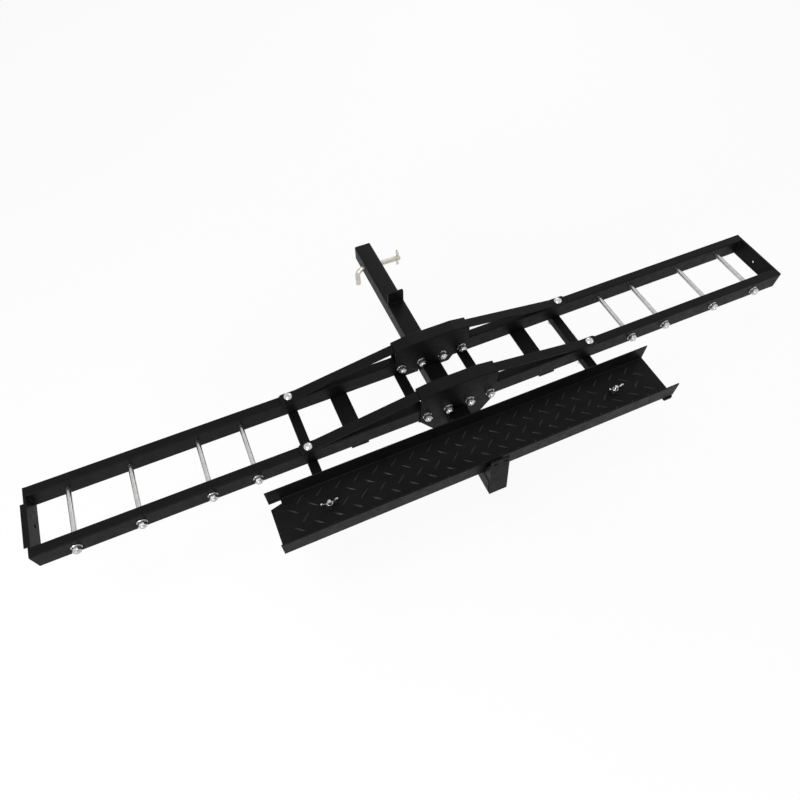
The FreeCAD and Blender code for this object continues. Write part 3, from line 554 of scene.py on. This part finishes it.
def coat_node(node, finish_name, rounding):
    """Give a CAD node its finish, and soft edges through modifiers."""
    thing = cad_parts[node]
    material = finish(finish_name)
    if thing.material_slots:
        for held in thing.material_slots:
            held.material = material
    else:
        thing.data.materials.append(material)
    if rounding:
        join = thing.modifiers.new("join", "WELD")
        join.merge_threshold = MERGE
        edge = thing.modifiers.new("edge", "BEVEL")
        edge.width = rounding
        edge.segments = 2
        edge.limit_method = "ANGLE"
        edge.angle_limit = SHEET_EDGE_ANGLE
        edge.use_clamp_overlap = True
        edge.harden_normals = False


# Operators

class CARRIER_OT_frame_coat(bpy.types.Operator):
    """Coat the welded frame and its plates"""
    bl_idname = "carrier.frame_coat"
    bl_label = "Coat frame"

    def execute(self, context):
        rounding = context.scene.carrier_coat.edge_round
        for node in TUBE_NODES:
            coat_node(node, "carrier_powder_coat", 0)
        for node in SHEET_NODES:
            coat_node(node, "carrier_powder_coat", rounding)
        return {"FINISHED"}


class CARRIER_OT_ramp_coat(bpy.types.Operator):
    """Coat the loading ramp and its foot"""
    bl_idname = "carrier.ramp_coat"
    bl_label = "Coat ramp"

    def execute(self, context):
        rounding = context.scene.carrier_coat.edge_round
        for node in ("ramp", "ramp_foot"):
            coat_node(node, "carrier_ramp_coat", rounding)
        return {"FINISHED"}


class CARRIER_OT_tread(bpy.types.Operator):
    """Raise the tread lugs on the ramp's floor"""
    bl_idname = "carrier.tread"
    bl_label = "Tread lugs"

    def execute(self, context):
        tread = context.scene.carrier_tread
        low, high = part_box("ramp")
        washers = solids_of("ramp_washers")
        floor = washers[0][0].z
        bm = bmesh.new()
        for row in range(tread.rows):
            y = tread.first_row + row * tread.row_gap
            leaning = 1 if row % 2 == 0 else -1
            shift = tread.pitch / 2 if leaning > 0 else 0
            count = int((high.x - low.x) / tread.pitch)
            for i in range(-count, count + 1):
                x = tread.phase + shift + i * tread.pitch
                if x < low.x + tread.left_margin or x > high.x - tread.right_margin:
                    continue
                spot = Vector((x, y, floor))
                near = min((spot.xy - ((a + b) / 2).xy).length for a, b in washers)
                if near < tread.stud_clear:
                    continue
                self.lug(bm, spot, leaning * tread.lug_turn, tread)
        # The lugs take the ramp coat lightened as a painted glint, with a glossier, smoother
        # finish.
        add_piece("ramp_tread_lugs", bm, "ramp", finish("carrier_lug_coat_painted_glint"))
        return {"FINISHED"}

    def lug(self, bm, spot, turn, tread):
        """One lens-shaped lug, its flat underside just inside the floor."""
        before = set(bm.verts)
        bmesh.ops.create_uvsphere(bm, u_segments=12, v_segments=6, radius=1)
        made = [v for v in bm.verts if v not in before]
        made_faces = {f for v in made for f in v.link_faces}
        made_edges = {e for v in made for e in v.link_edges}
        cut = bmesh.ops.bisect_plane(
            bm, geom=made + list(made_edges) + list(made_faces), dist=1e-6,
            plane_co=(0, 0, -0.15), plane_no=(0, 0, -1), clear_outer=True,
        )
        rim = [e for e in cut["geom_cut"] if isinstance(e, bmesh.types.BMEdge)]
        bmesh.ops.edgenet_fill(bm, edges=rim)
        made = [v for v in bm.verts if v not in before]
        size = Matrix.Diagonal((tread.lug_length / 2, tread.lug_width / 2, tread.lug_height, 1))
        place = Matrix.Translation(spot) @ Matrix.Rotation(turn, 4, "Z") @ size
        bmesh.ops.transform(bm, matrix=place, verts=made)


class CARRIER_OT_bolts(bpy.types.Operator):
    """Build the hexagon bolts, nuts and washers over their CAD solids"""
    bl_idname = "carrier.bolts"
    bl_label = "Bolts and nuts"

    def execute(self, context):
        kit = context.scene.carrier_hardware
        zinc = finish("carrier_zinc")
        rod = (kit.flats, kit.head, kit.shank)
        stud = (kit.stud_flats, kit.stud_head, kit.stud)
        for family in ("rung_", "gusset_"):
            self.bolts(kit, family + "bolts", family + "hex_bolts", "-Y", rod, zinc)
            self.nuts(kit, family + "nuts", family + "hex_nuts", "-Y", zinc)
            plated = add_piece(
                family + "flat_washers", self.washers(kit, family + "washers", "-Y", kit.shank),
                "frame", zinc,
            )
            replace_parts(plated, family + "washers")
        self.domes(kit, zinc)
        self.nuts(kit, "brace_nuts", "brace_hex_nuts", "-Z", zinc)
        self.bolts(kit, "ramp_studs", "ramp_stud_bolts", "+Z", stud, zinc)
        coated = add_piece(
            "ramp_flat_washers", self.washers(kit, "ramp_washers", "+Z", kit.stud),
            "ramp", finish("carrier_ramp_coat"),
        )
        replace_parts(coated, "ramp_washers")
        for node in ("wing_nut_left", "wing_nut_right"):
            coat_node(node, "carrier_zinc", kit.wing_round)
        return {"FINISHED"}

    def bolts(self, kit, node, piece_name, along, sizes, zinc):
        """Hexagon bolts of one CAD node; sizes are flats, head and shank."""
        flats, head, shank = sizes
        bm = bmesh.new()
        for low, high in solids_of(node):
            length = extent(low, high, along) - head
            place = seat(low, high, along) @ Matrix.Translation((0, 0, head))
            bolt(bm, kit, place, length, flats, head, shank)
        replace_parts(add_piece(piece_name, bm, "frame", zinc), node)

    def nuts(self, kit, node, piece_name, along, zinc):
        bm = bmesh.new()
        for low, high in solids_of(node):
            hexagon(bm, kit.flats, 0, extent(low, high, along), seat(low, high, along))
        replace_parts(add_piece(piece_name, bm, "frame", zinc), node)

    def washers(self, kit, node, along, shank):
        """Flat washers of one CAD node, as a bmesh."""
        bore = shank / 2 * kit.washer_bore
        bm = bmesh.new()
        for low, high in solids_of(node):
            outer = (high.x - low.x) / 2
            flat_washer(bm, seat(low, high, along), extent(low, high, along), outer, bore)
        return bm

    def domes(self, kit, zinc):
        """Dome-headed bolts through brace, rail and arm."""
        bm = bmesh.new()
        plate_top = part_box("rail_front_left")[1].z + kit.brace
        for low, high in solids_of("brace_bolts"):
            rise = high.z - plate_top
            radius = (high.x - low.x) / 2
            place = Matrix.Translation(((low.x + high.x) / 2, (low.y + high.y) / 2, plate_top))
            arc = [
                (radius * math.cos(a), rise * math.sin(a))
                for a in (math.radians(90 * i / 8) for i in range(9))
            ]
            depth = plate_top - low.z
            shank = kit.shank / 2
            outline = [(0, -depth), (shank * 0.8, -depth)]
            outline += thread_outline(shank, kit.point - depth, kit.threaded - depth, kit.pitch)
            outline += [(shank, kit.threaded - depth + MM), (shank, 0)]
            outline += arc[:-1] + [(0, rise)]
            revolve(bm, outline, place, steps=32)
        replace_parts(add_piece("brace_dome_bolts", bm, "frame", zinc), "brace_bolts")


class CARRIER_OT_pin(bpy.types.Operator):
    """Plate the hitch pin and its clip"""
    bl_idname = "carrier.pin"
    bl_label = "Hitch pin"

    def execute(self, context):
        coat_node("hitch_pin", "carrier_pin_zinc", 0)
        coat_node("hitch_pin_clip", "carrier_pin_zinc", 0)
        return {"FINISHED"}


class CARRIER_OT_welds(bpy.types.Operator):
    """Lay the weld beads where plates meet tubes"""
    bl_idname = "carrier.welds"
    bl_label = "Weld beads"

    def execute(self, context):
        settings = context.scene.carrier_weld
        radius = settings.bead
        ripple = settings.ripple
        bm = bmesh.new()
        tube_low, tube_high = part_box("hitch_tube")
        top = tube_high.z
        inset = settings.inset
        stop_low, stop_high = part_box("stop_plate")
        for y in (stop_low.y, stop_high.y):
            weld(bm, (stop_low.x + inset, y, top), (stop_high.x - inset, y, top), radius, ripple)
        for node, outer in (("saddle_rear", "high"), ("saddle_front", "low")):
            low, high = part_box(node)
            y = high.y if outer == "high" else low.y
            for x in (tube_low.x, tube_high.x):
                weld(bm, (x, y, low.z + inset), (x, y, top - inset), radius, ripple)
            weld(
                bm, (tube_low.x + inset, y, top), (tube_high.x - inset, y, top), radius, ripple,
            )
        for end in ("left", "right"):
            plate_low, plate_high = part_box("end_plate_" + end)
            x = plate_high.x if end == "left" else plate_low.x
            for row in ("rear", "front"):
                low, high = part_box("rail_%s_%s" % (row, end))
                y = low.y if row == "rear" else high.y
                weld(bm, (x, y, low.z + inset), (x, y, high.z - inset), radius, ripple)
            ledge_low, ledge_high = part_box("ramp_ledge_" + end)
            x = plate_low.x if end == "left" else plate_high.x
            foot = ledge_low.z + settings.ledge_inset
            head = ledge_high.z - settings.ledge_inset
            for y in (ledge_low.y, ledge_high.y):
                weld(bm, (x, y, foot), (x, y, head), radius * settings.ledge_bead, ripple)
        add_piece("weld_beads", bm, "frame", finish("carrier_powder_coat"))
        return {"FINISHED"}


class CARRIER_OT_stage(bpy.types.Operator):
    """Set up the floor, the light and the camera"""
    bl_idname = "carrier.stage"
    bl_label = "Stage"

    def execute(self, context):
        settings = context.scene.carrier_stage
        self.floor(settings)
        self.world(context, settings)
        self.lamps(context)
        self.camera(context, settings)
        context.scene.view_settings.view_transform = "Standard"
        return {"FINISHED"}

    def seen(self, tree):
        """1 for camera, glossy and transmission rays, and 0 for the light on the object."""
        path = tree.nodes.new("ShaderNodeLightPath")
        first = tree.nodes.new("ShaderNodeMath")
        first.operation = "MAXIMUM"
        tree.links.new(path.outputs["Is Camera Ray"], first.inputs[0])
        tree.links.new(path.outputs["Is Glossy Ray"], first.inputs[1])
        second = tree.nodes.new("ShaderNodeMath")
        second.operation = "MAXIMUM"
        tree.links.new(first.outputs[0], second.inputs[0])
        tree.links.new(path.outputs["Is Transmission Ray"], second.inputs[1])
        return second.outputs[0]

    def floor(self, settings):
        bm = bmesh.new()
        bmesh.ops.create_grid(bm, x_segments=1, y_segments=1, size=settings.floor_reach)
        mesh = bpy.data.meshes.new("floor")
        bm.to_mesh(mesh)
        bm.free()
        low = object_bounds()[0]
        mesh.transform(Matrix.Translation((0, settings.floor_middle, low.z - settings.drop)))
        thing = bpy.data.objects.new("floor", mesh)
        bpy.context.scene.collection.objects.link(thing)
        material = bpy.data.materials.new("floor_paper")
        material.use_nodes = True
        tree = material.node_tree
        tree.nodes.clear()
        paper = tree.nodes.new("ShaderNodeBsdfDiffuse")
        paper.inputs["Color"].default_value = (0.9, 0.9, 0.9, 1)
        glow = tree.nodes.new("ShaderNodeEmission")
        glow.inputs["Strength"].default_value = 1.0
        share = tree.nodes.new("ShaderNodeMath")
        share.operation = "MULTIPLY"
        share.inputs[1].default_value = settings.glow
        tree.links.new(self.seen(tree), share.inputs[0])
        mix = tree.nodes.new("ShaderNodeMixShader")
        tree.links.new(share.outputs[0], mix.inputs[0])
        tree.links.new(paper.outputs[0], mix.inputs[1])
        tree.links.new(glow.outputs[0], mix.inputs[2])
        out = tree.nodes.new("ShaderNodeOutputMaterial")
        tree.links.new(mix.outputs[0], out.inputs["Surface"])
        mesh.materials.append(material)
        thing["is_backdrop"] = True

    def world(self, context, settings):
        world = bpy.data.worlds.new("studio")
        world.use_nodes = True
        tree = world.node_tree
        tree.nodes.clear()
        light = tree.nodes.new("ShaderNodeBackground")
        light.inputs["Color"].default_value = (1, 1, 1, 1)
        light.inputs["Strength"].default_value = settings.ambient
        white = tree.nodes.new("ShaderNodeBackground")
        white.inputs["Color"].default_value = (1, 1, 1, 1)
        white.inputs["Strength"].default_value = 1.0
        mix = tree.nodes.new("ShaderNodeMixShader")
        tree.links.new(self.seen(tree), mix.inputs[0])
        tree.links.new(light.outputs[0], mix.inputs[1])
        tree.links.new(white.outputs[0], mix.inputs[2])
        out = tree.nodes.new("ShaderNodeOutputWorld")
        tree.links.new(mix.outputs[0], out.inputs["Surface"])
        context.scene.world = world

    def lamps(self, context):
        for name, place, size, power in LAMPS:
            data = bpy.data.lights.new(name, "AREA")
            data.size = size
            data.energy = power
            lamp = bpy.data.objects.new(name, data)
            lamp.location = place
            lamp.rotation_mode = "QUATERNION"
            lamp.rotation_quaternion = (LAMP_AIM - Vector(place)).to_track_quat("-Z", "Y")
            context.scene.collection.objects.link(lamp)

    def camera(self, context, settings):
        az = settings.azimuth
        el = settings.elevation
        back = Vector((
            math.sin(az) * math.cos(el), -math.cos(az) * math.cos(el), math.sin(el),
        ))
        right = (-back).cross(Vector((0, 0, 1))).normalized()
        down = (-back).cross(right)
        turned_right = right * math.cos(settings.roll) - down * math.sin(settings.roll)
        turned_down = right * math.sin(settings.roll) + down * math.cos(settings.roll)
        axes = Matrix((turned_right, -turned_down, back)).transposed()
        data = bpy.data.cameras.new("camera")
        data.lens = settings.lens
        data.sensor_width = 36
        data.clip_start = 0.01
        camera = bpy.data.objects.new("camera", data)
        camera.matrix_world = Matrix.Translation(settings.place) @ axes.to_4x4()
        context.scene.collection.objects.link(camera)
        context.scene.camera = camera


class CARRIER_PT_dressing(bpy.types.Panel):
    """The carrier's steps in order"""
    bl_idname = "CARRIER_PT_dressing"
    bl_label = "Carrier"
    bl_space_type = "VIEW_3D"
    bl_region_type = "UI"
    bl_category = "Carrier"

    def draw(self, context):
        for step in STEPS:
            self.layout.operator(step.bl_idname)


STEPS = (
    CARRIER_OT_frame_coat,
    CARRIER_OT_ramp_coat,
    CARRIER_OT_tread,
    CARRIER_OT_bolts,
    CARRIER_OT_pin,
    CARRIER_OT_welds,
    CARRIER_OT_stage,
)
GROUPS = {
    "carrier_coat": CoatSettings,
    "carrier_hardware": HardwareSettings,
    "carrier_tread": TreadSettings,
    "carrier_weld": WeldSettings,
    "carrier_stage": StageSettings,
}


def register():
    for name, group in GROUPS.items():
        bpy.utils.register_class(group)
        setattr(bpy.types.Scene, name, PointerProperty(type=group))
    for step in STEPS:
        bpy.utils.register_class(step)
    bpy.utils.register_class(CARRIER_PT_dressing)


def unregister():
    bpy.utils.unregister_class(CARRIER_PT_dressing)
    for step in reversed(STEPS):
        bpy.utils.unregister_class(step)
    for name, group in GROUPS.items():
        delattr(bpy.types.Scene, name)
        bpy.utils.unregister_class(group)


def main():
    register()
    bpy.ops.carrier.frame_coat()
    bpy.ops.carrier.ramp_coat()
    bpy.ops.carrier.tread()
    bpy.ops.carrier.bolts()
    bpy.ops.carrier.pin()
    bpy.ops.carrier.welds()
    bpy.ops.carrier.stage()


if __name__ == "__main__":
    main()
